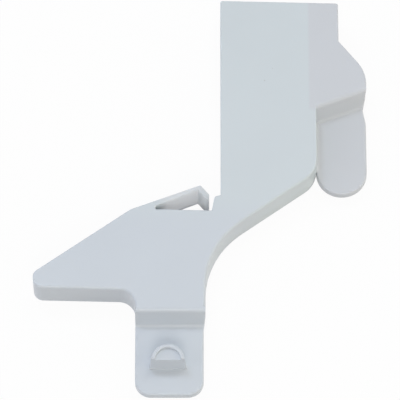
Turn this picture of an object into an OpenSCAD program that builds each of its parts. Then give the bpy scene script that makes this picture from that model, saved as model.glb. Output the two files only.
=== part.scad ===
// Stair gate latch: a one-piece white moulding, built from its working members.
// It lies on its open back: X runs across it, Y up the guide panel, Z to the front face.
// Outlines are drawn from a datum where the guide edge meets the slot floor, then centred.

/* [Moulding] */
// Depth of the moulding from its back to its front face
depth = 10; // [8:0.1:14]
// Thickness of the front skin
skin = 2.5; // [1.5:0.1:3]
// Thickness of the walls round the edge
wall = 2.5; // [1.5:0.1:3]
// Thickness of the ribs inside the hollow back
rib_t = 1.8; // [1:0.1:2.4]
// Distance that the ribs stop short of the back
rib_recess = 1; // [0.4:0.1:2]
// Fall of the cross edges from left to right, in degrees
fall = 1.4; // [0:0.1:3]

/* [Guide panel] */
// Height of the guide edge above the slot floor
panel_h = 70.9; // [62:0.1:90]
// Width of the panel above the shoulder
panel_w = 36.1; // [33:0.1:42]
// Width of the panel beside the finger tab
panel_low_w = 29; // [24:0.1:31]
// Height of the chin corner above the slot floor
chin_h = 12.8; // [10:0.1:16]
// Rounding of the chin corner
chin_r = 8.5; // [1:0.1:10]
// Slope of the underside of the panel, in degrees
chin_angle = 35.8; // [30:0.1:42]
// Rounding of the panel's top corners
corner_r = 0.6; // [0.2:0.1:2]
// Height of the lowest cross rib above the slot floor
rib_start = 12; // [10:0.5:16]
// Distance between the cross ribs
rib_pitch = 14; // [9:0.5:22]

/* [Shoulder and finger tab] */
// Distance from the guide edge to the outer side of the finger tab
grip_reach = 44.3; // [42:0.1:54]
// Height above the slot floor at which the shoulder's slope starts
shoulder_h = 57; // [52:0.1:62]
// Height of the shoulder's outer side
shoulder_side = 6.5; // [4:0.1:9]
// Rounding of the shoulder's outer corner
shoulder_r = 11.5; // [2:0.1:13]
// Height above the slot floor of the shoulder's lower edge at the panel
grip_h = 34.3; // [31:0.1:38]
// Rise of the shoulder's lower edge, in degrees
grip_rise = 21; // [10:0.5:26]
// Height above the slot floor of the centre of the finger tab's round end
finger_y = 16.3; // [12:0.1:22]
// Length of the corner where the finger tab widens below its step
finger_corner = 5.5; // [3:0.1:8]

/* [Set-back tabs] */
// Thickness of both set-back tabs
tab_t = 2.5; // [1.8:0.1:3.2]
// Run of each slanted step from the front edge to the tab
step_run = 1.5; // [0.8:0.1:3]
// Narrowing of the finger step at its foot
waist = 1.1; // [0.3:0.1:2]
// Distance from the neck's right side to the detent tab's
tab_inset = 0.55; // [0:0.05:4]
// Height of the slot floor above the end of the detent tab
tab_drop = 56.7; // [52:0.1:68]
// Rounding of the detent tab's corners
tab_r = 4.7; // [1:0.1:7]

/* [Detent lug] */
// Radius of the half-round lug at its top
lug_r = 4.9; // [3.5:0.1:6]
// Distance from the tab's left edge to the middle of the lug
lug_in = 9.75; // [8:0.05:11]
// Distance from the lug's flat side to the end of the tab
lug_end = 8.4; // [6:0.1:12]
// Extra radius at the lug's foot, so that it draws from its mould
lug_draft = 0.4; // [0.1:0.1:0.8]
// Width of the rim round the hollow in the lug's top
lug_rim = 1.1; // [0.8:0.1:1.6]
// Depth of the hollow in the lug's top
lug_dish = 1; // [0.4:0.1:2]

/* [Neck and nose] */
// Distance from the guide edge to the neck's right side
neck_inset = 4.6; // [2:0.1:7]
// Height of the slot floor above the neck's lower edge
neck_drop = 32.8; // [30:0.1:40]
// Radius of the hollow curve under the panel
hollow_r = 26; // [10:0.5:28]
// Reach of the nose beyond the neck
nose_reach = 30.5; // [26:0.1:40]
// Height of the slot floor above the nose's base
nose_drop = 25.95; // [23:0.05:27.5]
// Height of the nose's blunt end
nose_end_h = 4.9; // [4.5:0.1:7]
// Distance from the neck to the bend in the nose's upper edge
nose_bend = 1.6; // [0.5:0.1:8]
// Rounding of the nose's lower corner
nose_low_r = 3; // [0.5:0.1:3]
// Rounding of the nose's upper corner
nose_top_r = 2.5; // [0.5:0.1:3]
// Length of solid plastic at the nose's end
nose_solid = 8; // [5:0.1:12]
// Rounding between the nose's base and the neck
armpit_r = 5.1; // [1:0.1:6]

/* [Spring arm] */
// Length of the slot under the arm
slot_len = 16.9; // [14:0.1:21]
// Length of solid heel behind the slot, to the neck's left side
heel_len = 5.9; // [4:0.1:7]
// Height of the slot at its closed end
slot_end_h = 1; // [0.8:0.1:1.6]
// Slope of the arm's upper face, in degrees
arm_angle = 20.9; // [19:0.1:24]
// Thickness of the arm at its root
arm_root_t = 1.7; // [1.5:0.05:1.9]
// Thickness of the arm where it meets the hook
arm_tip_t = 1.35; // [1:0.05:1.7]
// Slope of the hook's lead-in, in degrees
hook_angle = 50.3; // [46:0.1:55]
// Length of the hook's lead-in
hook_lead = 4.2; // [3:0.1:5]
// Thickness of the hook across its lead-in
hook_t = 1.65; // [1.4:0.05:1.8]
// Height of the hook's catching face
hook_face = 2.2; // [1.5:0.1:2.5]
// Rounding of the hook's corners
hook_r = 0.6; // [0.2:0.1:0.8]

/* [End stop] */
// Width of the stop at its foot
stop_foot = 2.7; // [2:0.1:3]
// Width of the stop at its top
stop_top = 1.85; // [1.2:0.05:2]
// Height of the stop at the guide edge
stop_h = 5.15; // [3:0.05:7]
// Slope of the stop's top, in degrees
stop_slope = 16.7; // [0:0.1:30]
// Rounding of the stop's top corner
stop_r = 0.8; // [0.2:0.1:1]

/* [Fits] */
// Distance along the slot from the hook's toe to the foot of the end stop
hook_gap = 0.75; // [0.5:0.05:1.5]
// Radial clearance of each flexing root in its seat
root_gap = 0.05; // [0.02:0.01:0.1]

/* [Hidden] */
$fn = 96;
arc_steps = 14;       // straight pieces in each drawn arc
over = 1;             // cuts reach this far past the solid they open
pocket_r = 0.8;       // rounding inside the pockets
white = [0.93, 0.94, 0.96];

// --- plane geometry ---
function along(angle) = [cos(angle), sin(angle)];
function unit(v) = v / norm(v);
function left_of(v) = [-v[1], v[0]];
function turn(u, v) = u[0] * v[1] - u[1] * v[0];
// Crossing of the line through p along u with the line through q along v
function meet(p, u, q, v) = p + u * turn(q - p, v) / turn(u, v);
function before(list, i) = list[(i + len(list) - 1) % len(list)];
function after(list, i) = list[(i + 1) % len(list)];

// Arc that rounds corner b, reaching no further than reach along either side
function corner(a, b, c, r, reach) =
    let (u = unit(a - b), v = unit(c - b), half = acos(u * v) / 2,
         span = min(r / tan(half), reach), rad = span * tan(half),
         centre = b + unit(u + v) * rad / sin(half), from = b + u * span - centre,
         start = atan2(from[1], from[0]), swing = (180 - 2 * half) * sign(turn(b - a, c - b)))
    r <= 0 ? [b] : [for (k = [0:arc_steps]) centre + rad * along(start + swing * k / arc_steps)];

// Closed outline with each corner rounded; neighbours share the side between them
function rounded(pts, radii) = [for (i = [0:len(pts) - 1])
    let (a = before(pts, i), b = pts[i], c = after(pts, i), r = radii[i],
         share_a = r / max(r + before(radii, i), 0.001), share_c = r / max(r + after(radii, i), 0.001))
    each corner(a, b, c, r, min(norm(a - b) * share_a, norm(c - b) * share_c))];

// Outline moved in by one distance per side, side i running from point i to the next
function inset(pts, by) = [for (i = [0:len(pts) - 1])
    let (b = pts[i], u = unit(b - before(pts, i)), v = unit(after(pts, i) - b))
    meet(b + left_of(u) * before(by, i), u, b + left_of(v) * by[i], v)];

// Radii inside a wall: smaller at an outward corner, larger at an inward one
function inner_radii(pts, radii) = [for (i = [0:len(pts) - 1])
    let (out = turn(pts[i] - before(pts, i), after(pts, i) - pts[i]) > 0)
    out ? max(radii[i] - wall, pocket_r) : radii[i] + wall];

function pocket(pts, radii, by) = rounded(inset(pts, by), inner_radii(pts, radii));

// --- lines and points shared by neighbouring members ---
slot_in = -stop_foot - slot_len;
neck_left = slot_in - heel_len;
neck_right = -neck_inset;
neck_w = neck_right - neck_left;
tab_w = neck_w - tab_inset;
function floor_y(x) = (-stop_foot - x) * tan(fall);
function base_y(x) = -nose_drop + (neck_left - x) * tan(fall);
function grip_line(x) = grip_h + (x - panel_low_w) * tan(grip_rise);

chin = [panel_low_w, chin_h];
chin_foot = meet(chin, along(chin_angle), [0, 0], [1, 0]);
hollow = meet(chin, along(chin_angle), [neck_right, 0], [0, 1]);
armpit = [neck_left, -nose_drop];
nose_end = neck_left - nose_reach;
nose_low = [nose_end, base_y(nose_end)];
nose_high = nose_low + [0, nose_end_h];

arm_dir = along(arm_angle);
arm_up = left_of(arm_dir);
root_knuckle_r = arm_root_t / 2 - 0.1;
root_back = 0.35;                      // the seat's face lies this far behind the hinge line
hinge_in = 0.2;                        // the hinge line lies this far past the slot's closed end
slot_top = [slot_in, floor_y(slot_in) + slot_end_h];
arm_hinge = slot_top + [hinge_in, hinge_in * tan(arm_angle) + arm_root_t / 2 / cos(arm_angle)];
arm_top = arm_hinge + arm_up * arm_root_t / 2;
kink = meet(arm_top, arm_dir, [neck_left - nose_bend, 0], [0, 1]);
neck_top = meet(arm_top, arm_dir, [neck_left, 0], [0, 1]);
hook_dir = along(-hook_angle);
hook_under = 0.2;                      // the catching face leans back by this much
ridge_x = -stop_foot - hook_gap - hook_dir[0] * hook_lead;
hook_ridge = meet(arm_top, arm_dir, [ridge_x, 0], [0, 1]);
hook_toe = hook_ridge + hook_dir * hook_lead;
arm_heel = meet(arm_top - arm_up * arm_tip_t, arm_dir, hook_ridge - left_of(hook_dir) * hook_t, hook_dir);
arm_end = arm_heel + arm_up * arm_tip_t;
hook_tip = meet(arm_heel, hook_dir, hook_toe - [hook_under, hook_face], [1, 0]);

tab_knuckle_r = tab_t / 2 - 0.15;
tab_back = 0.4;                        // the seat's face lies this far behind the hinge line
tab_lip = 0.6;                         // flat at the foot of the detent step
tab_hinge = [-neck_drop - step_run - tab_lip, tab_t / 2];

// --- outlines, anticlockwise ---
panel_pts = [[0, 0], chin_foot, chin, [panel_low_w, grip_h], [panel_w, grip_line(panel_w)],
             [panel_w, panel_h - panel_w * tan(fall)], [0, panel_h]];
panel_radii = [0, 0, chin_r, 0, 0, corner_r, corner_r];
panel_walls = [rib_t, wall, wall, wall, wall, wall, wall];

finger_corner_r = finger_corner * 1.5;
shoulder_pts = [[panel_w, grip_line(panel_w)], [grip_reach, grip_line(grip_reach)],
                [grip_reach, grip_line(grip_reach) + shoulder_side], [panel_w, shoulder_h]];
shoulder_radii = [0, corner_r, shoulder_r, 0];
shoulder_walls = [wall, wall, wall, -over];

neck_pts = [[neck_left, -neck_drop], [neck_right, -neck_drop], hollow, chin_foot,
            [-stop_foot, 0], [neck_left, floor_y(neck_left)]];
neck_radii = [0, 0, hollow_r, 0, 0, 0];
neck_walls = [wall, wall, wall, wall, wall, wall];

nose_pts = [armpit, neck_top, kink, nose_high, nose_low];
nose_radii = [0, 0, 0, nose_top_r, nose_low_r];
nose_walls = [-over, wall, wall, nose_solid, wall];

// The latch lies with the middle of its box over the origin
mid_x = (nose_end + grip_reach) / 2;
mid_y = (panel_h - tab_drop) / 2;

module placed() color(white) translate([-mid_x, -mid_y, 0]) children();

// Front skin with walls round it, open at the back
module shell(pts, radii, by) difference() {
    linear_extrude(depth) polygon(rounded(pts, radii));
    translate([0, 0, -over]) linear_extrude(depth - skin + over) polygon(pocket(pts, radii, by));
}

// Ribs that fill the pocket of a shell wherever the children cover it
module ribs(pts, radii, by) translate([0, 0, rib_recess])
    linear_extrude(depth - skin - rib_recess) intersection() {
        polygon(pocket(pts, radii, [for (d = by) max(d, 0)]));
        children();
    }

// Bars of rib thickness, every pitch from the first place up to the last
module cross_bars(x, first, last, pitch, length)
    for (y = [first:pitch:last]) translate([x, y]) square([length, rib_t]);
module upright_bars(y, first, last, pitch, length)
    for (x = [first:pitch:last]) translate([x, y]) square([rib_t, length]);

// Outline in the X-Z plane, carried along Y over a wide span
module across_y(pts) translate([0, panel_h, 0]) rotate([90, 0, 0])
    linear_extrude(panel_h + tab_drop) polygon(pts);

// Wedge between a front edge and the tab behind it, running along X from the origin
module step_wedge(length, lip) rotate([90, 0, 90]) linear_extrude(length)
    polygon([[0, 0], [0, depth], [-step_run, tab_t], [-step_run - lip, tab_t], [-step_run - lip, 0]]);

module guide_panel() placed() shell(panel_pts, panel_radii, panel_walls);

module panel_ribs() placed() ribs(panel_pts, panel_radii, panel_walls) {
    cross_bars(0, rib_start, panel_h - wall - rib_t, rib_pitch, panel_w);
    upright_bars(grip_h, panel_low_w - wall, panel_low_w - wall, 1, panel_h);
}

module shoulder() placed() shell(shoulder_pts, shoulder_radii, shoulder_walls);

module finger_step() placed() intersection() {
    translate([panel_low_w, grip_h, 0]) rotate(grip_rise)
        translate([-depth, 0, 0]) step_wedge(grip_reach, 0);
    across_y([[panel_low_w, 0], [grip_reach - waist, 0], [grip_reach - waist, tab_t],
              [grip_reach, depth], [panel_low_w, depth]]);
}

module finger_tab() placed() {
    finger_r = (grip_reach - panel_low_w) / 2;
    foot = step_run / cos(grip_rise);
    waist_x = grip_reach - waist;
    sides = [[panel_low_w, finger_y], [grip_reach, finger_y],
             [grip_reach, grip_line(waist_x) - foot - finger_corner],
             [waist_x, grip_line(waist_x) - foot], [panel_low_w, grip_h - foot]];
    linear_extrude(tab_t) {
        polygon(rounded(sides, [0, 0, finger_corner_r, 0, 0]));
        translate([panel_low_w + finger_r, finger_y]) circle(finger_r);
    }
}

module neck() placed() shell(neck_pts, neck_radii, neck_walls);

module neck_ribs() placed() ribs(neck_pts, neck_radii, neck_walls) {
    cross_bars(neck_left, -neck_drop / 2, -neck_drop / 2, 1, neck_w + panel_w);
    upright_bars(-neck_drop, neck_left + neck_w / 2, neck_left + neck_w / 2, 1, neck_drop);
}

module nose() placed() {
    shell(nose_pts, nose_radii, nose_walls);
    linear_extrude(depth)
        polygon(concat([armpit],
            corner(nose_low, armpit, [neck_left, -neck_drop], armpit_r, armpit_r * 2)));
}

module nose_ribs() placed() ribs(nose_pts, nose_radii, nose_walls)
    upright_bars(-nose_drop, neck_left - nose_reach * 2 / 3, neck_left - 1, nose_reach / 3, nose_drop * 2);

module end_stop() placed() linear_extrude(depth) polygon(rounded(
    [[-stop_foot, 0], [0, 0], [0, stop_h], [-stop_top, stop_h - stop_top * tan(stop_slope)]],
    [0, 0, 0, stop_r]));

// Solid heel that the spring arm grows out of, with the seat of its root
module arm_root() placed() {
    face = arm_top - arm_dir * root_back;
    difference() {
        linear_extrude(depth) polygon([[neck_left, floor_y(neck_left)], [slot_in, floor_y(slot_in)],
            slot_top, face - arm_up * arm_root_t, face, neck_top]);
        translate([arm_hinge[0], arm_hinge[1], -over])
            cylinder(r = root_knuckle_r + root_gap, h = depth + 2 * over);
    }
}

// Slanted step down to the detent tab, with the seat of the tab's root
module tab_step() placed() difference() {
    intersection() {
        translate([neck_left, -neck_drop, 0]) step_wedge(neck_w, tab_lip - tab_back);
        across_y([[neck_left, 0], [neck_left + tab_w, 0], [neck_left + tab_w, tab_t],
                  [neck_right, depth], [neck_left, depth]]);
    }
    translate([neck_left - over, tab_hinge[0], tab_hinge[1]]) rotate([0, 90, 0])
        cylinder(r = tab_knuckle_r + root_gap, h = neck_w + 2 * over);
}

module spring_arm() placed() linear_extrude(depth) {
    polygon([arm_top, arm_top - arm_up * arm_root_t, arm_heel, arm_end]);
    translate(arm_hinge) circle(root_knuckle_r);
}

module snap_hook() placed() linear_extrude(depth)
    polygon(rounded([arm_end, arm_heel, hook_tip, hook_toe, hook_ridge], [0, 0, 0, hook_r, hook_r]));

module detent_tab() placed() {
    root = tab_hinge[0];
    linear_extrude(tab_t) polygon(rounded([[neck_left, -tab_drop], [neck_left + tab_w, -tab_drop],
        [neck_left + tab_w, root], [neck_left, root]], [tab_r, tab_r, 0, 0]));
    translate([neck_left, root, tab_hinge[1]]) rotate([0, 90, 0])
        cylinder(r = tab_knuckle_r, h = tab_w);
}

// Half-round lug with a hollow top that is open towards the tab's end
module detent_lug() placed() translate([neck_left + lug_in, lug_end - tab_drop, tab_t]) intersection() {
    difference() {
        cylinder(r1 = lug_r + lug_draft, r2 = lug_r, h = depth - tab_t);
        translate([0, 0, depth - tab_t - lug_dish]) cylinder(r = lug_r - lug_rim, h = lug_dish + over);
    }
    translate([-2 * lug_r, 0, -over]) cube([4 * lug_r, 2 * lug_r, depth + 2 * over]);
}

guide_panel();
panel_ribs();
shoulder();
finger_step();
finger_tab();
neck();
neck_ribs();
nose();
nose_ribs();
end_stop();
arm_root();
tab_step();
spring_arm();
snap_hook();
detent_tab();
detent_lug();
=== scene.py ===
import cmath
import math

import bmesh
import bpy
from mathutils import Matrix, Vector
from mathutils.geometry import delaunay_2d_cdt


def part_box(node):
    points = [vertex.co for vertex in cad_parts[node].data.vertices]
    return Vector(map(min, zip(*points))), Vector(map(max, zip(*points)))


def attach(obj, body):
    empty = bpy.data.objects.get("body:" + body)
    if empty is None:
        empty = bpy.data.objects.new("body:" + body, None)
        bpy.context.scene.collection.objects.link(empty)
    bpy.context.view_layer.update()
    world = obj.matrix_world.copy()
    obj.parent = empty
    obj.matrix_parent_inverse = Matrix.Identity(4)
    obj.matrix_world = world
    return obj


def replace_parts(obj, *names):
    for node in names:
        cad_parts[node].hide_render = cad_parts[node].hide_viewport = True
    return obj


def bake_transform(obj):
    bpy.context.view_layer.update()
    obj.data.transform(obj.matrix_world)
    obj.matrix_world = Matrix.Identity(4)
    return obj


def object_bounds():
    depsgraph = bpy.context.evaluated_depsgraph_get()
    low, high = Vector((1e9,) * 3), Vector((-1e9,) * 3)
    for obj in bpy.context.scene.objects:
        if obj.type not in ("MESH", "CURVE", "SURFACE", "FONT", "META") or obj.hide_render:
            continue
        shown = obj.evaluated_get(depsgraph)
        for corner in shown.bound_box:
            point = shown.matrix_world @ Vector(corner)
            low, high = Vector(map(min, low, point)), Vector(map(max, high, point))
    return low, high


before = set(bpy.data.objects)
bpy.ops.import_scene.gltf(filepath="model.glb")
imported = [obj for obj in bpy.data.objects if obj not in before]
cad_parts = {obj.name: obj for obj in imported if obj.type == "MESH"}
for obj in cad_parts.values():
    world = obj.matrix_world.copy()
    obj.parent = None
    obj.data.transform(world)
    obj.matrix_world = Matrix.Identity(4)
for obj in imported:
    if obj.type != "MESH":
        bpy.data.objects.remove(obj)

CAD_BOX = [[float(c) for c in corner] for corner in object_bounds()]
MM = 0.001

# ---------------------------------------------------------------- sizes
# In millimetres. Outlines are lists of complex numbers x + iy, drawn from ORIGIN: the guide edge's x and the y
# of the slot's floor at the end stop. Heights z are counted from the back.
X, Y, Z = range(3)


def box_mm(node):
    return [[c / MM for c in corner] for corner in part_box(node)]


ORIGIN = complex(box_mm("guide_panel")[0][X], box_mm("end_stop")[0][Y])


def low(node, axis):
    """Where the node's box starts, counted from ORIGIN."""
    return box_mm(node)[0][axis] - (ORIGIN.real, ORIGIN.imag, 0)[axis]


def high(node, axis):
    """Where it ends."""
    return box_mm(node)[1][axis] - (ORIGIN.real, ORIGIN.imag, 0)[axis]


rad = math.radians

DEPTH = high("guide_panel", Z)
TAB_T = high("finger_tab", Z)
SKIN, WALL, RIB_T = 2.5, 2.5, 1.8       # the front's skin, the outer walls, the ribs
CEILING = DEPTH - SKIN                  # where the hollow back ends
FALL = rad(1.4)                         # slope of the slot's floor, the nose's underside and the panel's top

PANEL_W = high("guide_panel", X)
PANEL_H = 70.9
PANEL_LOW_W = low("finger_tab", X)      # its width below the shoulder
PANEL_TOP_R = 0.65
CHIN_H, CHIN_R, CHIN_ANGLE = 12.8, 8.5, rad(35.8)
GRIP_REACH = high("finger_tab", X)
SHOULDER_H, SHOULDER_SIDE, SHOULDER_R, SHOULDER_TOP_R = 57.0, 6.5, 11.5, 0.5
GRIP_H, GRIP_RISE = 34.3, rad(21)       # the finger step's top edge: height at the panel's side, slope
FINGER_R = (GRIP_REACH - PANEL_LOW_W) / 2
FINGER_Y = low("finger_tab", Y) + FINGER_R
FINGER_CORNER, FINGER_CORNER_R = 5.5, 8.25
WAIST = 1.1                             # how far the finger tab's side comes in below the step
STEP_RUN = 1.5                          # how far each slanted step slopes outwards
STEP_SIDE = 1.8                         # the wall runs straight for this much beside each step
PANEL_RIBS_Y = (12, 26, 40, 54)
LONG_RIB_X = PANEL_LOW_W - WALL

NECK_LEFT = high("nose", X)
NECK_RIGHT = high("tab_step", X)
NECK_DROP = -low("neck", Y)
HOLLOW_R = 26.0
NOSE_END = low("nose", X)
NOSE_DROP, NOSE_END_H = 25.95, 4.9
NOSE_BEND, NOSE_BEND_R = 1.6, 2.5       # where its upper side turns, counted from the neck
NOSE_SOLID = 8.0                        # its end isn't hollow
NOSE_LOW_R, NOSE_TOP_R, ARMPIT_R = 3.0, 2.5, 5.1

TAB_RIGHT = high("detent_tab", X)
TAB_END = low("detent_tab", Y)
TAB_R = 4.7

STOP_FOOT, STOP_TOP, STOP_H = -low("end_stop", X), 1.85, high("end_stop", Y)
STOP_SLOPE, STOP_R, STOP_EDGE_R, STOP_FOOT_R = rad(16.7), 0.8, 0.3, 0.4
SLOT_LEN, SLOT_END_H, SLOT_END_R = 16.9, 1.0, 0.42
ARM_ANGLE, ARM_ROOT_T, ARM_TIP_T = rad(20.9), 1.7, 1.35
HOOK_ANGLE, HOOK_LEAD, HOOK_T = rad(50.3), 4.2, 1.65
HOOK_FACE, HOOK_UNDER, HOOK_GAP = 2.2, 0.2, 0.75
HEEL_R, TIP_R, TOE_R, RIDGE_R = 0.5, 0.2, 0.6, 0.6

EDGE, BACK_EDGE = 0.32, 0.3             # rounding of the front edges and of the back ones
SOFT_EDGE = 0.85                        # front edge along the nose's underside and the hollow
SLOT_EDGE = 0.35                        # front edge along the end stop, the slot and the arm's underside
HOOK_EDGE, HOOK_BACK_EDGE = 0.18, 0.15
TAB_EDGE, TAB_BACK_EDGE = 0.55, 0.35
STEP_TOP_R = 1.3                        # soft shoulder at the top of each slanted step
STEP_FOOT_R = 1.1                       # fillet at its foot
FLAT_PAST_FOOT = 0.02                   # between the fillet and the tab's own mesh

ARC_STEP = rad(7)                       # one edge of a rounded corner turns by about this much
SIDE_SHARE = 0.96                       # the most of a side that the corners at its ends take up
SMOOTH_ANGLE = 42                       # faces that meet at less, in degrees, are shaded as one


# ---------------------------------------------------------------- plane geometry
def along(angle):
    """The direction at this angle from +X."""
    return cmath.exp(1j * angle)


def turn(u, v):
    """Cross product: positive where v turns left from u."""
    return (u.conjugate() * v).imag


def meet(p, u, q, v):
    """Where the line through p along u crosses the line through q along v."""
    return p + u * turn(q - p, v) / turn(u, v)


def reach(a, b, c, r):
    """How much of each side an arc of radius r takes up at corner b."""
    return r * math.tan(abs(cmath.phase((c - b) / (b - a))) / 2)


def corner(a, b, c, r):
    """Points of the arc of radius r that rounds corner b."""
    if r <= 0:
        return [b]
    u, v = (a - b) / abs(a - b), (c - b) / abs(c - b)
    bend = cmath.phase((c - b) / (b - a))
    middle = (u + v) / abs(u + v)
    centre = b + middle * r / math.cos(bend / 2)
    start = cmath.phase(b + u * reach(a, b, c, r) - centre)
    steps = max(3, round(abs(bend) / ARC_STEP))
    return [centre + r * along(start + bend * k / steps) for k in range(steps + 1)]


def dense(spec):
    """spec lists (point, radius, kind of the edge that follows). Neighbouring radii shrink to share a side too
    short for both. Returns the points, (kind, next kind, how far between them) for each edge, since one kind
    turns into the next round a corner, and where each corner starts."""
    n = len(spec)
    around = [(spec[i - 1][0], spec[i][0], spec[(i + 1) % n][0]) for i in range(n)]
    spans = [reach(*around[i], spec[i][1]) for i in range(n)]
    share = []
    for i, (_, b, c) in enumerate(around):
        wanted = max(1e-9, spans[i] + spans[(i + 1) % n])
        share.append(min(1.0, SIDE_SHARE * abs(c - b) / wanted))
    points, kinds, starts = [], [], []
    for i, (_, r, kind) in enumerate(spec):
        arc = corner(*around[i], r * min(share[i - 1], share[i]))
        starts.append(len(points))
        points += arc
        for k in range(1, len(arc)):
            kinds.append((spec[i - 1][2], kind, (k - 0.5) / (len(arc) - 1)))
        kinds.append((kind, kind, 1))
    return points, kinds, starts


def offset(points, by):
    """Outline moved in by one distance per edge, edge i running from point i to the next."""
    moved = []
    for i, b in enumerate(points):
        a, c = points[i - 1], points[(i + 1) % len(points)]
        u, v = (b - a) / abs(b - a), (c - b) / abs(c - b)
        before, after = by[i - 1], by[i]
        bend = abs(turn(u, v))
        if bend < 0.3:      # within an arc, where two kinds of edge may meet
            before = after = (before + after) / 2
        if bend < 1e-4:     # as good as straight
            moved.append(b + 1j * v * after)
        else:
            moved.append(meet(b + 1j * u * before, u, b + 1j * v * after, v))
    return moved


def inside(p, loop):
    """Whether p lies within the loop."""
    crossings = 0
    for a, b in zip(loop, loop[1:] + loop[:1]):
        if (a.imag > p.imag) != (b.imag > p.imag):
            crossings += a.real + (p.imag - a.imag) * (b.real - a.real) / (b.imag - a.imag) > p.real
    return crossings % 2 == 1


def clip(points, at, normal):
    """The part of the outline on the side of the line through at that normal points to."""
    kept = []
    for a, b in zip(points[-1:] + points[:-1], points):
        da, db = (((p - at) * complex(normal).conjugate()).real for p in (a, b))
        if (da < 0) != (db < 0):
            kept.append(a + (b - a) * da / (da - db))
        if db >= 0:
            kept.append(b)
    return kept


def quarter(r, below):
    """How far in the surface of an edge rounded to radius r lies, at this distance below the face."""
    left = max(0.0, r - below)
    return r - math.sqrt(max(0.0, r * r - left * left)) if below < r else 0.0


def drops(r, *angles):
    """How far an arc of radius r has fallen away from its tangent at each angle."""
    return [r * (1 - math.cos(rad(a))) for a in angles]


# ---------------------------------------------------------------- lofted solids
def place(p, z):
    """The point in metres, in the shared frame."""
    p += ORIGIN
    return Vector((p.real, p.imag, z)) * MM


class Solid:
    """A mesh made of outlines stacked along Z."""

    def __init__(self):
        self.bm = bmesh.new()

    def wall(self, a, b):
        """Faces between two rings with as many points each."""
        n = len(a)
        for i in range(n):
            j = (i + 1) % n
            self.bm.faces.new((a[i], a[j], b[j], b[i]))

    def stack(self, layers):
        """layers lists (points, z). Returns the first and last ring."""
        rings = [[self.bm.verts.new(place(p, z)) for p in points] for points, z in layers]
        for a, b in zip(rings, rings[1:]):
            self.wall(a, b)
        return rings[0], rings[-1]

    def cap(self, ring, holes=()):
        """Closes a ring, leaving out its holes."""
        if not holes:
            self.bm.faces.new(ring)
            return
        verts = [v for loop in (ring, *holes) for v in loop]
        edges, loops = [], []
        for loop in (ring, *holes):
            first = sum(len(done) for done in loops)
            edges += [(first + i, first + (i + 1) % len(loop)) for i in range(len(loop))]
            loops.append([complex(v.co.x, v.co.y) for v in loop])
        flat = [Vector((v.co.x, v.co.y)) / MM for v in verts]
        made, _, triangles, origins, _, _ = delaunay_2d_cdt(flat, edges, [], 0, 1e-6)
        for tri in triangles:
            middle = sum(complex(*made[i]) for i in tri) / 3 * MM
            if sum(inside(middle, loop) for loop in loops) % 2:
                self.bm.faces.new([verts[origins[i][0]] for i in tri])

    def closed_stack(self, layers):
        """The same, with both ends closed."""
        first, last = self.stack(layers)
        self.cap(last)
        self.cap(first)

    def cut_across(self, point, normal):
        """Adds a row of edges where the plane crosses the mesh."""
        bm = self.bm
        bmesh.ops.bisect_plane(bm, geom=bm.verts[:] + bm.edges[:] + bm.faces[:], dist=1e-7,
                               plane_co=point, plane_no=normal)

    def to_object(self, name):
        bm = self.bm
        bmesh.ops.remove_doubles(bm, verts=bm.verts[:], dist=1e-7)
        bmesh.ops.recalc_face_normals(bm, faces=bm.faces[:])
        mesh = bpy.data.meshes.new(name)
        bm.to_mesh(mesh)
        bm.free()
        return link(bpy.data.objects.new(name, mesh))

    def finish(self, name, material, body=None, smooth=SMOOTH_ANGLE, add=None, cut=None):
        """Makes the piece, with one other solid joined to it or cut out of it."""
        obj = self.to_object(name)
        if add or cut:
            other = (add or cut).to_object("other_solid")
            change = obj.modifiers.new("change", "BOOLEAN")
            change.operation, change.object, change.solver = "UNION" if add else "DIFFERENCE", other, "EXACT"
            bpy.context.view_layer.objects.active = obj
            bpy.ops.object.modifier_apply(modifier=change.name)
            bpy.data.objects.remove(other)
        obj.data.materials.append(material)
        shade(obj, smooth)
        if body:
            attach(obj, body)
        return obj


def link(obj):
    """Puts the object into the scene."""
    bpy.context.scene.collection.objects.link(obj)
    return obj


def shade(obj, smooth):
    """Smooth shading, but for edges sharper than this many degrees."""
    mesh = obj.data
    for polygon in mesh.polygons:
        polygon.use_smooth = True
    mesh.set_sharp_from_angle(angle=rad(smooth))
    weighted = obj.modifiers.new("even_shading", "WEIGHTED_NORMAL")
    weighted.keep_sharp = True


# ---------------------------------------------------------------- shared lines and points
def floor_y(x):
    """Height of the slot's floor."""
    return (-STOP_FOOT - x) * math.tan(FALL)


def base_y(x):
    """Height of the nose's underside."""
    return -NOSE_DROP + (NECK_LEFT - x) * math.tan(FALL)


def grip_line(x):
    """Height of the shoulder's lower edge."""
    return GRIP_H + (x - PANEL_LOW_W) * math.tan(GRIP_RISE)


CHIN = complex(PANEL_LOW_W, CHIN_H)
CHIN_FOOT = meet(CHIN, along(CHIN_ANGLE), 0, 1)
HOLLOW = meet(CHIN, along(CHIN_ANGLE), NECK_RIGHT, 1j)
ARMPIT = complex(NECK_LEFT, -NOSE_DROP)
NOSE_LOW = complex(NOSE_END, base_y(NOSE_END))
NOSE_HIGH = NOSE_LOW + NOSE_END_H * 1j
PANEL_TOP = complex(PANEL_W, PANEL_H - PANEL_W * math.tan(FALL))
GRIP_CORNER = complex(GRIP_REACH, grip_line(GRIP_REACH))

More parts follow.
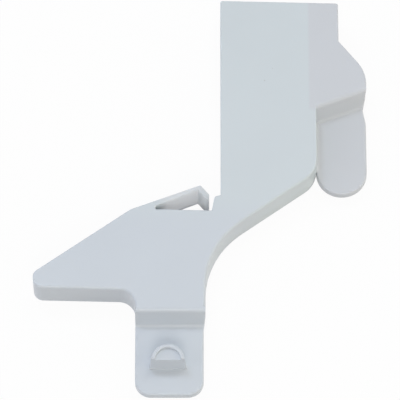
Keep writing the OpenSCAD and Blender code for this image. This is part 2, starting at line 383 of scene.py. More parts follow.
SLOT_IN = -STOP_FOOT - SLOT_LEN
SLOT_TOP = complex(SLOT_IN, floor_y(SLOT_IN) + SLOT_END_H)
ARM = along(ARM_ANGLE)
UP = ARM * 1j
HINGE_IN = 0.2      # the hinge line is this far to the right of the slot's end, half way through the arm
HINGE = SLOT_TOP + complex(HINGE_IN, HINGE_IN * math.tan(ARM_ANGLE) + ARM_ROOT_T / 2 / math.cos(ARM_ANGLE))
ARM_TOP = HINGE + UP * ARM_ROOT_T / 2
NECK_TOP = meet(ARM_TOP, ARM, NECK_LEFT, 1j)
KINK = meet(ARM_TOP, ARM, NECK_LEFT - NOSE_BEND, 1j)
LEAD = along(-HOOK_ANGLE)
RIDGE = meet(ARM_TOP, ARM, -STOP_FOOT - HOOK_GAP - LEAD.real * HOOK_LEAD, 1j)
TOE = RIDGE + LEAD * HOOK_LEAD
HEEL = meet(ARM_TOP - UP * ARM_TIP_T, ARM, RIDGE - LEAD * 1j * HOOK_T, LEAD)
TIP = meet(HEEL, LEAD, TOE - complex(HOOK_UNDER, HOOK_FACE), 1)
ROOT_UNDER = ARM_TOP - UP * ARM_ROOT_T
CUT = -0.2          # the arm piece starts this far behind the hinge line
CUT_TOP = ARM_TOP + ARM * CUT
CUT_UNDER = meet(CUT_TOP, UP, SLOT_TOP, HEEL - ROOT_UNDER)

STEP_SLOPE = math.atan2(DEPTH - TAB_T, STEP_RUN)
STEP_FOOT_SPAN = STEP_FOOT_R * math.tan(STEP_SLOPE / 2)
STEP_TOP_SPAN = STEP_TOP_R * math.tan(STEP_SLOPE / 2)
STEP_REACH = STEP_RUN + STEP_FOOT_SPAN + FLAT_PAST_FOOT
GRIP_DIR = along(GRIP_RISE)
WAIST_X = GRIP_REACH - WAIST
GRIP_FOOT = STEP_RUN / math.cos(GRIP_RISE)
FINGER_SIDE_TOP = complex(GRIP_REACH, grip_line(WAIST_X) - GRIP_FOOT - FINGER_CORNER)
FINGER_WAIST = complex(WAIST_X, grip_line(WAIST_X) - GRIP_FOOT)
GRIP_JOIN = complex(PANEL_LOW_W, GRIP_H - STEP_REACH / math.cos(GRIP_RISE))
WAIST_JOIN = meet(GRIP_JOIN, GRIP_DIR, FINGER_SIDE_TOP, FINGER_WAIST - FINGER_SIDE_TOP)
TAB_JOIN_Y = -NECK_DROP - STEP_REACH


def step_in(z):
    """How far in the slanted step lies at height z. It slopes outwards, so below its rounded top this is
    negative."""
    down, up = max(0.0, DEPTH - z), z - TAB_T
    if down < STEP_TOP_R * (1 - math.cos(STEP_SLOPE)):
        angle = math.acos(1 - down / STEP_TOP_R)
        return STEP_TOP_SPAN - STEP_TOP_R * math.sin(angle)
    if up <= 0:
        return -STEP_REACH
    if up < STEP_FOOT_R * (1 - math.cos(STEP_SLOPE)):
        angle = math.acos(1 - up / STEP_FOOT_R)
        return -STEP_RUN - STEP_FOOT_SPAN + STEP_FOOT_R * math.sin(angle)
    return -STEP_RUN * down / (DEPTH - TAB_T)


def edge_in(r, z, top=DEPTH, back=BACK_EDGE):
    """How far in a wall rounded at its top and at its back lies at height z."""
    return quarter(r, top - z) + quarter(min(back, r), z)


# how far in each kind of edge lies at height z
PROFILES = {
    "edge": lambda z: edge_in(EDGE, z),
    "soft": lambda z: edge_in(SOFT_EDGE, z),
    "slot": lambda z: edge_in(SLOT_EDGE, z),
    "hook": lambda z: edge_in(HOOK_EDGE, z, back=HOOK_BACK_EDGE),
    "tab": lambda z: edge_in(TAB_EDGE, z, TAB_T, TAB_BACK_EDGE),
    "step": step_in,
    "cut": lambda z: 0.0,
}


def levels(top, r, back, extra=()):
    """Heights of the slices: close together where an edge is rounded."""
    even = (0, 15, 30, 45, 60, 75, 90)
    found = {0.0, top, *(top - d for d in drops(r, *even)), *drops(back, *even), *extra}
    kept = []
    for z in sorted(found):
        if not kept or z - kept[-1] > 0.004:    # closer ones would make slivers
            kept.append(z)
    return kept[:-1] + [top]


def slices(points, kinds, heights, profiles=PROFILES, fix=None):
    """The outline at each height. fix may move points of it, given the points and the height."""
    made = []
    for z in heights:
        at = offset(points, [profiles[a](z) * (1 - t) + profiles[b](z) * t for a, b, t in kinds])
        if fix:
            fix(at, z)
        made.append((at, z))
    return made


# ---------------------------------------------------------------- materials
class Graph:
    """Builds the shader nodes of a material or a world."""

    def __init__(self, owner):
        owner.use_nodes = True
        self.nodes, self.links = owner.node_tree.nodes, owner.node_tree.links

    def put(self, socket, value):
        """Feeds the socket from another node's output, or sets it to a value."""
        if isinstance(value, bpy.types.NodeSocket):
            self.links.new(value, socket)
        else:
            socket.default_value = value

    def node(self, kind, inputs, **settings):
        """A new node, with its settings made before its inputs are looked up."""
        made = self.nodes.new("ShaderNode" + kind)
        for key, value in settings.items():
            setattr(made, key, value)
        for key, value in inputs.items():
            self.put(made.inputs[key], value)
        return made

    def calc(self, operation, *values):
        """A Math node's result."""
        return self.node("Math", dict(enumerate(values)), operation=operation).outputs[0]

    def noise(self, where, scale, detail, rough):
        """Cloudy values about 0.5."""
        inputs = {"Vector": where, "Scale": scale, "Detail": detail, "Roughness": rough}
        return self.node("TexNoise", inputs).outputs["Fac"]

    def ramp(self, value, *stops):
        """A colour for the value. The two stops are (value, colour)."""
        made = self.node("ValToRGB", {"Fac": value})
        for element, (at, colour) in zip(made.color_ramp.elements, stops):
            element.position = at
            element.color = (*colour, 1)
        return made.outputs["Color"]

    def mix(self, share, a, b, how="MIX"):
        """Colour a turned by this share to b, or multiplied by it."""
        inputs = {"Factor": share, "A": a, "B": b}
        return self.node("Mix", inputs, data_type="RGBA", blend_type=how).outputs["Result"]

    def from_to(self, line, start, end, first=0.0, last=1.0):
        """first at start, turning smoothly to last at end. line is an output and where its 0 lies, in mm."""
        value, origin = line
        inputs = {"Value": value, "From Min": (start + origin) * MM, "From Max": (end + origin) * MM,
                  "To Min": first, "To Max": last}
        return self.node("MapRange", inputs, interpolation_type="SMOOTHSTEP").outputs["Result"]

    def trough(self, line, middle, width, depth):
        """A groove that deep across the line, width to either side of its middle."""
        value, origin = line
        away = self.calc("ABSOLUTE", self.calc("SUBTRACT", value, (middle + origin) * MM))
        return self.from_to((away, 0), 0, width, -depth, 0)

    def background_rays(self):
        """1 for the rays that show the background: from the camera, or by way of a reflection or of glass."""
        seen = self.node("LightPath", {}).outputs
        reflected = self.calc("MAXIMUM", seen["Is Camera Ray"], seen["Is Glossy Ray"])
        return self.calc("MAXIMUM", reflected, seen["Is Transmission Ray"])

    def background(self, output, share, lit, shown):
        """The output: one shader that lights the object, and one that is shown, to this share of each ray."""
        mixed = self.node("MixShader", {0: share, 1: lit.outputs[0], 2: shown.outputs[0]})
        self.node(output, {"Surface": mixed.outputs[0]})


def linear(*srgb):
    """An sRGB colour, 0 to 255, as Blender's linear one."""
    return tuple((c / 255 / 12.92) if c < 10.3 else ((c / 255 + 0.055) / 1.055) ** 2.4 for c in srgb)


PLASTIC = {"IOR": 1.49, "Specular IOR Level": 0.42, "Subsurface Weight": 0.1,
           "Subsurface Radius": (1.0, 0.9, 0.8), "Subsurface Scale": 0.001}
PLASTIC_LOW, PLASTIC_HIGH = linear(202, 210, 214), linear(204, 212, 216)
SPECK_COLOUR = (0.35, 0.34, 0.32)
ROUGH_LOW, ROUGH_HIGH = 0.33, 0.43

# noise: scale, detail, roughness
CLOUD, GRAIN, WAVE, GLOSS = (38, 3, 0.5), (2600, 4, 0.6), (55, 2, 0.5), (160, 5, 0.6)
GRAIN_HEIGHT, WAVE_HEIGHT = 0.0016, 0.02

# tints, and the bands in which they set in. The right-hand tint is painted shade: darker and warmer, for the
# shade and warm light on the panel's right and past its side
# painted shade: the first tint darkens and warms the panel's right and all past its side
PAINTED_SHADE_TINT, TINT_BELOW = (0.985, 0.94, 0.952), (0.98, 0.965, 0.993)
PAINTED_SHADE_X_BAND, PAINTED_SHADE_Y_BAND = (26.4, 27.4), (GRIP_H - 1.5, GRIP_H + 0.5)
PAINTED_SHADE_SIDE_BAND = (PANEL_LOW_W - 0.1, PANEL_LOW_W + 0.1)
BELOW_BAND = (6, -6)

# specks that the photograph shows (place, radius), and a few more in the rarest cells of a pattern
SPECKS = [(complex(13.4, 43.5), 0.32), (complex(15.8, 47.6), 0.2), (complex(21.0, 4.6), 0.26)]
SPECK_CELLS, SPECK_R, SPECK_RARITY, SPECK_SHARE = 62, 0.016, 0.95, 0.35

# sink marks over the ribs: middle, width to either side, depth
SINKS_X = [(LONG_RIB_X + RIB_T / 2, 2.6, 0.012)]
SINKS_Y = [(y + RIB_T / 2, 2.4, 0.003) for y in PANEL_RIBS_Y]

# light through the arm: it sets in between two distances past the root, from one weight to the other
THIN_FROM, THIN_TO, THIN_WEIGHTS, THIN_SCALE = 0.2, 3.8, (0.1, 0.85), 0.03


def resin_colour_and_painted_shade(graph, where, x, y):
    """Two close tones in faint clouds, with painted shade: warmer and a little darker on the panel's right
    above the finger step and on all that lies past the panel's side; a little duller below the guide edge,
    with tiny dark specks."""
    colour = graph.ramp(graph.noise(where, *CLOUD), (0.3, PLASTIC_LOW), (0.7, PLASTIC_HIGH))
    # painted shade: darker, warmer tone on the panel's right above the finger step and on all past the panel's
    # side
    right = graph.calc("MULTIPLY", graph.from_to(x, *PAINTED_SHADE_X_BAND), graph.from_to(y, *PAINTED_SHADE_Y_BAND))
    right = graph.calc("MAXIMUM", right, graph.from_to(x, *PAINTED_SHADE_SIDE_BAND))
    colour = graph.mix(right, colour, (*PAINTED_SHADE_TINT, 1), "MULTIPLY")
    colour = graph.mix(graph.from_to(y, *BELOW_BAND), colour, (*TINT_BELOW, 1), "MULTIPLY")

    cells = graph.node("TexVoronoi", {"Vector": where, "Scale": SPECK_CELLS}, feature="F1").outputs
    near = graph.calc("LESS_THAN", cells["Distance"], SPECK_R)
    chance = graph.node("SeparateColor", {0: cells["Color"]}).outputs[0]
    speck = graph.calc("MULTIPLY", near, graph.calc("GREATER_THAN", chance, SPECK_RARITY))
    for at, r in SPECKS:
        away = graph.node("VectorMath", {0: where, 1: place(at, DEPTH)}, operation="DISTANCE").outputs["Value"]
        speck = graph.calc("MAXIMUM", speck, graph.from_to((away, 0), r * 0.4, r, 1.0, 0.0))
    return graph.mix(graph.calc("MULTIPLY", speck, SPECK_SHARE), colour, (*SPECK_COLOUR, 1))


def moulded_white(name, sinks=False, thin=False):
    """Semi-gloss white moulding: fine moulded grain, faint flow clouding and specks, with painted shade on the
    right-hand parts;
    sink marks over the ribs behind the front skin; light coming through where the piece is thin."""
    mat = bpy.data.materials.new(name)
    graph = Graph(mat)
    sockets = graph.nodes["Principled BSDF"].inputs
    for key, value in PLASTIC.items():
        graph.put(sockets[key], value)
    where = graph.node("TexCoord", {}).outputs["Object"]
    split = graph.node("SeparateXYZ", {0: where}).outputs
    x, y = (split["X"], ORIGIN.real), (split["Y"], ORIGIN.imag)
    graph.put(sockets["Base Color"], resin_colour_and_painted_shade(graph, where, x, y))
    gloss = graph.ramp(graph.noise(where, *GLOSS), (0.35, (ROUGH_LOW,) * 3), (0.7, (ROUGH_HIGH,) * 3))
    graph.put(sockets["Roughness"], gloss)

    # height, in millimetres
    height = graph.calc("MULTIPLY", graph.noise(where, *GRAIN), GRAIN_HEIGHT)
    height = graph.calc("ADD", height, graph.calc("MULTIPLY", graph.noise(where, *WAVE), WAVE_HEIGHT))
    if sinks:
        for line, marks in ((x, SINKS_X), (y, SINKS_Y)):
            for mark in marks:
                height = graph.calc("ADD", height, graph.trough(line, *mark))
    bump = graph.node("Bump", {"Strength": 1.0, "Distance": MM, "Height": height})
    graph.put(sockets["Normal"], bump.outputs["Normal"])

    if thin:
        along_arm = graph.calc("ADD", graph.calc("MULTIPLY", split["X"], ARM.real),
                               graph.calc("MULTIPLY", split["Y"], ARM.imag))
        root = ((HINGE + ORIGIN) * ARM.conjugate()).real
        weight = graph.from_to((along_arm, root), THIN_FROM, THIN_TO, *THIN_WEIGHTS)
        graph.put(sockets["Subsurface Weight"], weight)
        graph.put(sockets["Subsurface Scale"], THIN_SCALE)
    return mat


white = moulded_white("white_moulding")
white_main = moulded_white("white_moulding_front", sinks=True)
white_thin = moulded_white("white_moulding_thin", thin=True)


# ---------------------------------------------------------------- the rigid moulding
POCKET_CORNER_R = 0.8           # the least radius of a pocket's upright corners
POCKET_FLOOR_R = 0.45           # fillet round a pocket's floor
POCKET_RIM_R = 0.25             # rounding of its rim
POCKET_MIDDLES = (2, 4, 6)      # slices part of the way up its straight walls
SHARED = 0.05                   # wall left by a pocket on the side where its neighbour has the wall


def inner_outline(points, walls, radii):
    """Pocket outline behind the front skin, from the outline of its outside, the wall along each side and the
    outside's radius at each corner."""
    moved = offset(points, walls)
    spec = []
    for i, b in enumerate(moved):
        outward = turn(points[i] - points[i - 1], points[(i + 1) % len(points)] - points[i]) > 0
        r = max(radii[i] - WALL, POCKET_CORNER_R) if outward else radii[i] + WALL
        spec.append((b, r, "cut"))
    return dense(spec)[0]


PANEL = [0, CHIN_FOOT, CHIN, complex(PANEL_LOW_W, GRIP_H), complex(PANEL_W, grip_line(PANEL_W)), PANEL_TOP,
         complex(0, PANEL_H)]
SHOULDER = [complex(PANEL_W, grip_line(PANEL_W)), GRIP_CORNER, GRIP_CORNER + SHOULDER_SIDE * 1j,
            complex(PANEL_W, SHOULDER_H)]
NECK = [complex(NECK_LEFT, -NECK_DROP), complex(NECK_RIGHT, -NECK_DROP), HOLLOW, CHIN_FOOT,
        complex(-STOP_FOOT, 0), complex(NECK_LEFT, floor_y(NECK_LEFT))]
NOSE = [ARMPIT, NECK_TOP, KINK, NOSE_HIGH, NOSE_LOW]
POCKETS = {
    "panel": inner_outline(PANEL, [RIB_T] + [WALL] * 6, [0, 0, CHIN_R, 0, 0, 0, 0]),
    "shoulder": inner_outline(SHOULDER, [WALL, WALL, WALL, SHARED], [0, 0, SHOULDER_R, 0]),
    "neck": inner_outline(NECK, [WALL] * 6, [0, 0, HOLLOW_R, 0, 0, 0]),
    "nose": inner_outline(NOSE, [SHARED, WALL, WALL, NOSE_SOLID, WALL], [0, 0, 0, NOSE_TOP_R, NOSE_LOW_R]),
}


def main_moulding():
    spec = [    # point, radius, kind of the edge that follows
        (complex(NECK_LEFT, -NECK_DROP), 0, "step"),
        (complex(NECK_RIGHT, -NECK_DROP), 0, "soft"),
        (complex(NECK_RIGHT, -NECK_DROP + STEP_SIDE), 0, "soft"),
        (HOLLOW, HOLLOW_R, "soft"),
        (CHIN, CHIN_R, "edge"),
        (complex(PANEL_LOW_W, GRIP_H), 0, "step"),
        (GRIP_CORNER, 0, "edge"),
        (GRIP_CORNER + STEP_SIDE * 1j, 0, "edge"),
        (GRIP_CORNER + SHOULDER_SIDE * 1j, SHOULDER_R, "edge"),
        (complex(PANEL_W, SHOULDER_H), SHOULDER_TOP_R, "edge"),
        (PANEL_TOP, PANEL_TOP_R, "edge"),
        (complex(0, PANEL_H), PANEL_TOP_R, "edge"),
        (complex(0, STOP_H), STOP_EDGE_R, "slot"),
        (complex(-STOP_TOP, STOP_H - STOP_TOP * math.tan(STOP_SLOPE)), STOP_R, "slot"),
        (complex(-STOP_FOOT, 0), STOP_FOOT_R, "slot"),
        (complex(SLOT_IN, floor_y(SLOT_IN)), SLOT_END_R, "slot"),
        (SLOT_TOP, SLOT_END_R, "slot"),
        (CUT_UNDER, 0, "cut"),
        (CUT_TOP, 0, "edge"),
        (KINK, NOSE_BEND_R, "edge"),
        (NOSE_HIGH, NOSE_TOP_R, "edge"),
        (NOSE_LOW, NOSE_LOW_R, "soft"),
        (ARMPIT, ARMPIT_R, "soft"),
    ]
    points, kinds, starts = dense(spec)
    right_foot, grip_right = starts[1], starts[6]

    def fix(at, z):
        # the steps narrow from the front edge down to the tabs
        share = min(1.0, (DEPTH - z) / (DEPTH - TAB_T))
        at[right_foot] = complex(NECK_RIGHT + (TAB_RIGHT - NECK_RIGHT) * share, at[right_foot].imag)
        x = GRIP_REACH + (WAIST_JOIN.real - GRIP_REACH) * share
        at[grip_right] = WAIST_JOIN if share == 1.0 else meet(at[grip_right], GRIP_DIR, x, 1j)

    foot = [TAB_T + d for d in drops(STEP_FOOT_R, 0, 6, 14, 24, 36, 50, 64, 78)]
    head = [DEPTH - d for d in drops(STEP_TOP_R, 8, 18, 30, 42, 56, 78)]
    soft = [DEPTH - d for d in drops(SOFT_EDGE, 15, 30, 45, 60, 75, 90)]
    straight = [TAB_T + 4]      # one slice part of the way up the walls
    heights = levels(DEPTH, EDGE, BACK_EDGE, foot + head + soft + straight)
    solid = Solid()
    back, front = solid.stack(slices(points, kinds, heights, fix=fix))
    solid.cap(front)

    rims = []
    for outline in POCKETS.values():
        made = []
        for z in levels(CEILING, POCKET_FLOOR_R, POCKET_RIM_R, POCKET_MIDDLES):
            by = quarter(POCKET_FLOOR_R, CEILING - z) - quarter(POCKET_RIM_R, z)
            made.append((offset(outline, [by] * len(outline)), z))
        rim, floor = solid.stack(made)
        solid.cap(floor)
        rims.append(rim)
    solid.cap(back, rims)
    return solid.finish("latch_moulding", white_main, "latch_body")


# ---------------------------------------------------------------- the ribs behind the skin
RIB_BACK = 1.0          # the ribs stop this far short of the back,
RIB_STAGGER = 0.02      # the upright ones a hair more, so that no two faces share a plane
RIB_SINK = 0.3          # their ends run into the walls by this much,
RIB_INTO_SKIN = 0.05    # and their tops into the skin
RIB_EDGE, RIB_FILLET = 0.25, 0.5
RIB_MIDDLE = 4.2        # one slice part of the way up


def rib_web(name, bars):
    """Bars are (x0, y0, x1, y1, the pocket outline that cuts them off)."""
    level, upright = Solid(), Solid()
    for x0, y0, x1, y1, outline in bars:
        near, far = complex(x0, y0), complex(x1, y1)
        bar = [near, complex(x1, y0), far, complex(x0, y1)]
        if outline:
            bar = offset(outline, [-RIB_SINK] * len(outline))
            for at, normal in ((near, 1), (near, 1j), (far, -1), (far, -1j)):
                bar = clip(bar, at, normal)
            bar = [p for i, p in enumerate(bar) if abs(p - bar[i - 1]) > 1e-4]
        solid, back = (level, RIB_BACK) if x1 - x0 > y1 - y0 else (upright, RIB_BACK + RIB_STAGGER)
        heights = {back + d for d in drops(RIB_EDGE, 0, 20, 40, 60, 90)}
        heights |= {CEILING - d for d in drops(RIB_FILLET, 15, 35, 55, 90)} | {RIB_MIDDLE}
        made = [(offset(bar, [quarter(RIB_EDGE, z - back) - quarter(RIB_FILLET, CEILING - z)] * len(bar)), z)
                for z in sorted(heights)]
        made.append((made[-1][0], CEILING + RIB_INTO_SKIN))
        solid.closed_stack(made)
    if not level.bm.verts:
        return upright.finish(name + "_web", white, "latch_body")
    return level.finish(name + "_web", white, "latch_body", add=upright)


NECK_MIDDLE = (NECK_LEFT + NECK_RIGHT) / 2
NOSE_THIRD = (NECK_LEFT - NOSE_END) / 3
LONG_RIB_FOOT, LONG_RIB_HEAD = GRIP_H + 0.3, PANEL_H - WALL - 0.2
RIBS = {
    "panel_ribs": [(0, y, PANEL_W, y + RIB_T, POCKETS["panel"]) for y in PANEL_RIBS_Y]
                  + [(LONG_RIB_X, LONG_RIB_FOOT, LONG_RIB_X + RIB_T, LONG_RIB_HEAD, None)],
    "neck_ribs": [(NECK_LEFT, -NECK_DROP / 2, PANEL_W, -NECK_DROP / 2 + RIB_T, POCKETS["neck"]),
                  (NECK_MIDDLE, -NECK_DROP, NECK_MIDDLE + RIB_T, 0, POCKETS["neck"])],
    "nose_ribs": [(x, -NOSE_DROP, x + RIB_T, NOSE_DROP, POCKETS["nose"])
                  for x in (NECK_LEFT - NOSE_THIRD * 2, NECK_LEFT - NOSE_THIRD)],
}


# ---------------------------------------------------------------- the finger tab
ROUND_STEPS = 36                # edges round the tab's end
FILLET = 1.2                    # radius of the fillet where the tab meets the panel's side
FILLET_INTO = 0.3               # the fillet's solid runs this deep into the tab,
FILLET_INTO_SIDE = 0.05         # and this far into the panel
FILLET_START, FILLET_END = CHIN_H + 3.2, GRIP_JOIN.imag + 1.5
# it grows from nothing above the tab's round end: y, share of its radius
FILLET_ROWS = ((FILLET_START, 0.05), (FILLET_START + 0.5, 0.45), (FILLET_START + 1.2, 0.8),
               (FILLET_START + 2.2, 1.0), (FILLET_END, 1.0))


def finger_tab():
    middle = complex((PANEL_LOW_W + GRIP_REACH) / 2, FINGER_Y)
    points = [middle + FINGER_R * along(math.pi + math.pi * k / ROUND_STEPS) for k in range(ROUND_STEPS + 1)]
    kinds = [("tab", "tab", 1)] * len(points)
    spec = [
        (points[-1], 0, "tab"),
        (FINGER_SIDE_TOP, FINGER_CORNER_R, "tab"),
        (WAIST_JOIN, 0, "cut"),
        (GRIP_JOIN, 0, "cut"),
        (GRIP_JOIN - GRIP_DIR * BACK_EDGE / GRIP_DIR.real, 0, "cut"),
        (points[0] - BACK_EDGE, 0, "cut"),
    ]
    more, more_kinds, starts = dense(spec)
    points += more[starts[1]:]
    kinds += more_kinds[starts[1]:]
    solid = Solid()
    solid.closed_stack(slices(points, kinds, levels(TAB_T, TAB_EDGE, TAB_BACK_EDGE)))

    fillet = Solid()
    rows = []
    for y, size in FILLET_ROWS:
        r = FILLET * size
        curve = [(r * (1 - math.sin(rad(a))), r * (1 - math.cos(rad(a))))
                 for a in (0, 12, 24, 36, 48, 60, 75, 90)]
        section = [(-FILLET_INTO_SIDE, -FILLET_INTO), (r, -FILLET_INTO), *curve, (-FILLET_INTO_SIDE, r)]
        rows.append([fillet.bm.verts.new(place(complex(PANEL_LOW_W + x, y), TAB_T + z)) for x, z in section])
    for a, b in zip(rows, rows[1:]):
        fillet.wall(a, b)
    fillet.cap(rows[0])
    fillet.cap(rows[-1])
    return solid.finish("finger_tab_pad", white, "latch_body", add=fillet)


# ---------------------------------------------------------------- the detent tab; the real one bends at its root, here it stays straight
TAB_FADE = 2.0                          # the rounding of its sides fades out over this much, up to the step
TAB_ROW_GAP, TAB_ROWS = 0.35, 11        # rows of edges across the part that bends


def detent_tab():
    spec = [
        (complex(NECK_LEFT, TAB_END), TAB_R, "tab"),
        (complex(TAB_RIGHT, TAB_END), TAB_R, "tab"),
        (complex(TAB_RIGHT, TAB_JOIN_Y - TAB_FADE), 0, "tab"),
        (complex(TAB_RIGHT, TAB_JOIN_Y), 0, "cut"),
        (complex(NECK_LEFT, TAB_JOIN_Y), 0, "tab"),
        (complex(NECK_LEFT, TAB_JOIN_Y - TAB_FADE), 0, "tab"),
    ]
    points, kinds, starts = dense(spec)

    def fix(at, z):
        # no rounding where the tab meets the step
        for i in (3, 4):
            at[starts[i]] = spec[i][0]

    solid = Solid()
    solid.closed_stack(slices(points, kinds, levels(TAB_T, TAB_EDGE, TAB_BACK_EDGE), fix=fix))
    for k in range(1, TAB_ROWS + 1):
        solid.cut_across(place(complex(0, TAB_JOIN_Y - TAB_ROW_GAP * k), 0), (0, 1, 0))
    obj = solid.finish("detent_tab_leaf", white)
    place(complex(0, TAB_JOIN_Y - 0.1), 0)
    place(complex(0, TAB_JOIN_Y - 3.8), 0)
    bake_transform(obj)
    return obj


# ---------------------------------------------------------------- the lug on the detent tab
LUG_DRAFT, LUG_FLAT_DRAFT = 0.4, 0.1    # how far its round side and its flat side lean in
LUG_FLARE, LUG_TOP_R = 0.3, 0.35        # fillet at its foot, rounding at its top
LUG_RIM = 1.1                           # wall left round the hollow in its top
LUG_SMOOTH = 50
# the hollow: height, and how far its outline has moved in there
HOLLOW_LEVELS = ((DEPTH - 1.0, 0.0), (DEPTH - 0.12, 0.0), (DEPTH - 0.03, -0.04), (DEPTH + 0.5, -0.6))


def detent_lug():
    low_corner, high_corner = box_mm("detent_lug")
    middle = complex((low_corner[X] + high_corner[X]) / 2, low_corner[Y]) - ORIGIN
    lug_r = (high_corner[X] - low_corner[X]) / 2

    def arc(r, steps):
        return [middle + r * along(math.pi * k / steps) for k in range(steps + 1)]

    def side(z, draft):
        lean = draft * (z - TAB_T) / (DEPTH - TAB_T)
        return lean + quarter(LUG_TOP_R, DEPTH - z) - quarter(LUG_FLARE, z - TAB_T)

    points = arc(lug_r, steps=30)
    kinds = [("round", "round", 1)] * (len(points) - 1) + [("flat", "flat", 1)]
    profiles = {"round": lambda z: side(z, LUG_DRAFT), "flat": lambda z: side(z, LUG_FLAT_DRAFT)}
    heights = {TAB_T + d for d in drops(LUG_FLARE, 0, 15, 30, 45, 60, 75, 90)}
    heights |= {DEPTH - d for d in drops(LUG_TOP_R, 0, 20, 40, 60, 90)}
    solid = Solid()
    solid.closed_stack(slices(points, kinds, sorted(heights), profiles))

    # hollow in its top, open towards the tab's end
    dish = Solid()
    hollow = arc(lug_r - LUG_DRAFT - LUG_RIM, steps=26)
    outwards = -3j
    hollow += [hollow[-1] + outwards, hollow[0] + outwards]
    dish.closed_stack([(offset(hollow, [by] * len(hollow)), z) for z, by in HOLLOW_LEVELS])
    return solid.finish("detent_lug_cap", white, "detent_tab", smooth=LUG_SMOOTH, cut=dish)


# ---------------------------------------------------------------- the spring arm; the real one bends at its root, here it stays straight
ARM_ROW_GAP, ARM_ROWS = 0.3, 12         # rows of edges across the part that bends


def spring_arm():
    points, kinds, _ = dense([
        (CUT_UNDER, 0, "slot"),
        (HEEL, HEEL_R, "hook"),
        (TIP, TIP_R, "hook"),
        (TOE, TOE_R, "hook"),
        (RIDGE, RIDGE_R, "edge"),
        (CUT_TOP, 0, "cut"),
    ])
    solid = Solid()
    solid.closed_stack(slices(points, kinds, levels(DEPTH, EDGE, BACK_EDGE)))
    for k in range(1, ARM_ROWS + 1):
        solid.cut_across(place(HINGE + ARM * (CUT + ARM_ROW_GAP * k), 0), (ARM.real, ARM.imag, 0))
    obj = solid.finish("spring_arm_and_hook", white_thin)
    place(HINGE + ARM * (CUT + 0.02), 0)
    place(HINGE + ARM * (CUT + 3.6), 0)
    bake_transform(obj)
    return obj


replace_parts(main_moulding(), "guide_panel", "shoulder", "neck", "nose", "end_stop", "arm_root")
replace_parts(finger_tab(), "finger_tab", "finger_step")
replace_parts(detent_tab(), "detent_tab", "tab_step")
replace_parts(detent_lug(), "detent_lug")
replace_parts(spring_arm(), "spring_arm", "snap_hook")

for name, bars in RIBS.items():
    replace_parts(rib_web(name, bars), name)


# ---------------------------------------------------------------- floor, light and camera
FLOOR_HALF, FLOOR_DROP = 4.0, 0.003     # in metres. The drop leaves the detent tab room to bend down
FLOOR_BOUNCE, FLOOR_SEEN = 0.55, 0.85   # how white the floor is to the light and to the camera
FLOOR_GLOW = 0.95                       # the rest of what the camera sees of the floor takes the shadow


def tone(level, r, g, b):
    return (level * r, level * g, level * b)


# light from the right and left, from behind and in front, from above and below
WORLD = [
    ("X", tone(1.50, 1.03, 1.01, 0.92), tone(1.50, 0.985, 0.985, 1.05)),
    ("Y", tone(0.62, 1.00, 1.00, 1.05), tone(0.47, 1.03, 1.00, 0.955)),
    ("Z", tone(0.05, 1.00, 1.00, 1.00), tone(0.25, 1.00, 1.00, 1.00)),
]
LAMPS = [   # name, place, size, watts, colour
    ("front_overhead", (0.0, -0.8, 0.9), (0.4, 0.4), 4.05, (1.0, 0.957, 0.914)),
    ("back_left_overhead", (-0.3, 0.38, 1.1), (0.32, 0.32), 2.30, (0.683, 0.808, 1.0)),
    ("back_right_overhead", (0.3, 0.4, 1.1), (0.3, 0.3), 1.55, (1.0, 1.0, 0.98)),
    ("low_right", (0.93, -0.2, 0.20), (0.6, 0.3), 0.7, (1.0, 0.98, 0.78)),
]

CAMERA_TARGET = Vector((-0.0004, -0.00375, 0.010))
CAMERA_DISTANCE, CAMERA_ELEVATION = 1.2, rad(65)
CAMERA_LENS, CAMERA_SENSOR = 360, 36
CAMERA_CLIP = (0.05, 20)


def stage_material():
    """White paper to the camera and in reflections, with the object's shadow kept faintly; light grey to the
    light that bounces off it."""
    mat = bpy.data.materials.new("paper_white")
    graph = Graph(mat)
    graph.nodes.clear()
    from_camera = graph.node("LightPath", {}).outputs["Is Camera Ray"]
    albedo = graph.node("MapRange", {"Value": from_camera, "To Min": FLOOR_BOUNCE, "To Max": FLOOR_SEEN})
    paper = graph.node("BsdfDiffuse", {"Color": albedo.outputs["Result"]})
    glow = graph.node("Emission", {"Strength": 1.0})
    share = graph.calc("MULTIPLY", graph.background_rays(), FLOOR_GLOW)
    graph.background("OutputMaterial", share, paper, glow)
    return mat


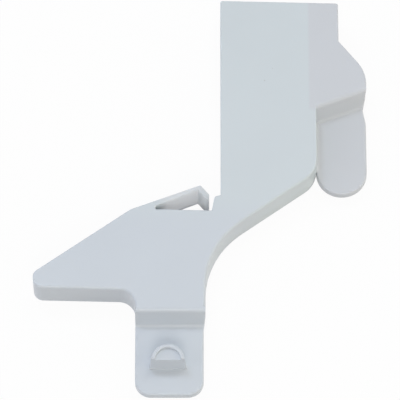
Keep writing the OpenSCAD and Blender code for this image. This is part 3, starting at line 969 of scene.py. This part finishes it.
def make_floor():
    mesh = bpy.data.meshes.new("floor")
    half, z = FLOOR_HALF, CAD_BOX[0][Z] - FLOOR_DROP
    corners = [(-half, -half, z), (half, -half, z), (half, half, z), (-half, half, z)]
    mesh.from_pydata(corners, [], [(0, 1, 2, 3)])
    mesh.materials.append(stage_material())
    obj = link(bpy.data.objects.new("floor", mesh))


def make_world():
    """Soft surroundings whose level and colour turn smoothly from side to side. The camera and reflections see
    plain white in their place."""
    world = bpy.data.worlds.new("studio")
    bpy.context.scene.world = world
    graph = Graph(world)
    graph.nodes.clear()
    direction = graph.node("TexCoord", {}).outputs["Generated"]
    split = graph.node("SeparateXYZ", {0: direction}).outputs
    total = (0, 0, 0)
    for axis, plus, minus in WORLD:
        square = graph.calc("MULTIPLY", split[axis], split[axis])
        ahead = graph.calc("GREATER_THAN", split[axis], 0)
        tint = graph.mix(ahead, (*minus, 1), (*plus, 1))
        part = graph.node("VectorMath", {0: tint, "Scale": square}, operation="SCALE").outputs[0]
        total = graph.node("VectorMath", {0: total, 1: part}, operation="ADD").outputs[0]
    light = graph.node("Background", {"Color": total, "Strength": 1.0})
    paper = graph.node("Background", {"Color": (1, 1, 1, 1)})
    graph.background("OutputWorld", graph.background_rays(), light, paper)


def make_lamp(name, at, size, watts, colour):
    data = bpy.data.lights.new(name, "AREA")
    data.shape, data.size, data.size_y = "RECTANGLE", size[0], size[1]
    data.energy, data.color = watts, colour
    lamp = link(bpy.data.objects.new(name, data))
    lamp.location = at
    lamp.rotation_euler = (-Vector(at)).to_track_quat("-Z", "Y").to_euler()


def make_camera():
    data = bpy.data.cameras.new("camera")
    data.lens, data.sensor_width = CAMERA_LENS, CAMERA_SENSOR
    data.clip_start, data.clip_end = CAMERA_CLIP
    camera = link(bpy.data.objects.new("camera", data))
    back = Vector((0, -math.cos(CAMERA_ELEVATION), math.sin(CAMERA_ELEVATION)))
    camera.location = CAMERA_TARGET + back * CAMERA_DISTANCE
    camera.rotation_euler = (rad(90) - CAMERA_ELEVATION, 0, 0)
    bpy.context.scene.camera = camera


make_floor()
make_world()
for lamp in LAMPS:
    make_lamp(*lamp)
make_camera()
bpy.context.scene.view_settings.view_transform = "Standard"
